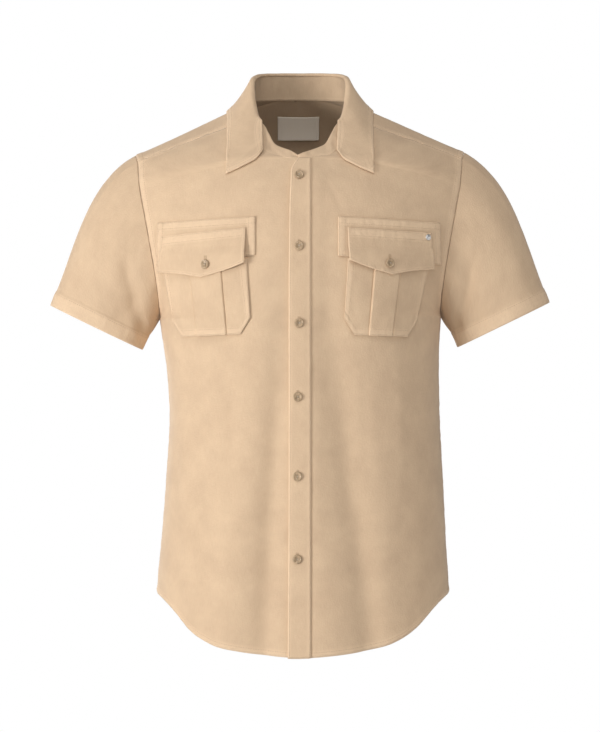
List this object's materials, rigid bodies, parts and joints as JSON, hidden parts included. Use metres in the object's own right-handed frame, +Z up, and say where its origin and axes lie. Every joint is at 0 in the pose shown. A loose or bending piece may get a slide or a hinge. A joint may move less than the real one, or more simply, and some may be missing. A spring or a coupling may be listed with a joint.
{
  "type": "short-sleeved utility shirt",
  "caption": "Short-sleeved cotton utility shirt, buttoned up and filled out with no wearer: pointed collar, placket, flapped chest pockets with box pleats, curved shirttail hem.",
  "frame": {"origin": "middle of the neck opening, level with the high points of the shoulders, where the wearer's shoulders hold the yoke", "axes": "+Z up, the front faces -Y, the wearer's left side is at +X"},
  "size_m": [0.6732, 0.278, 0.7957],
  "materials": {
    "twill": "washed khaki cotton twill, matt",
    "button": "satin tan resin",
    "metal": "dull silver",
    "label": "woven tape, bare"
  },
  "bodies": {
    "root": {"front_right": "twill", "front_left": "twill", "back": "twill", "yoke": "twill", "placket": "twill", "sleeve_right": "twill", "sleeve_left": "twill", "collar_stand": "twill", "collar_leaf": "twill", "patch_right": "twill", "patch_left": "twill", "pocket_right": "twill", "pocket_left": "twill", "flap_right": "twill", "flap_left": "twill", "button_1": "button", "button_2": "button", "button_3": "button", "button_4": "button", "button_5": "button", "button_6": "button", "flap_button_right": "button", "flap_button_left": "button", "rivet": "metal", "neck_label": "label"}
  },
  "joints": []
}
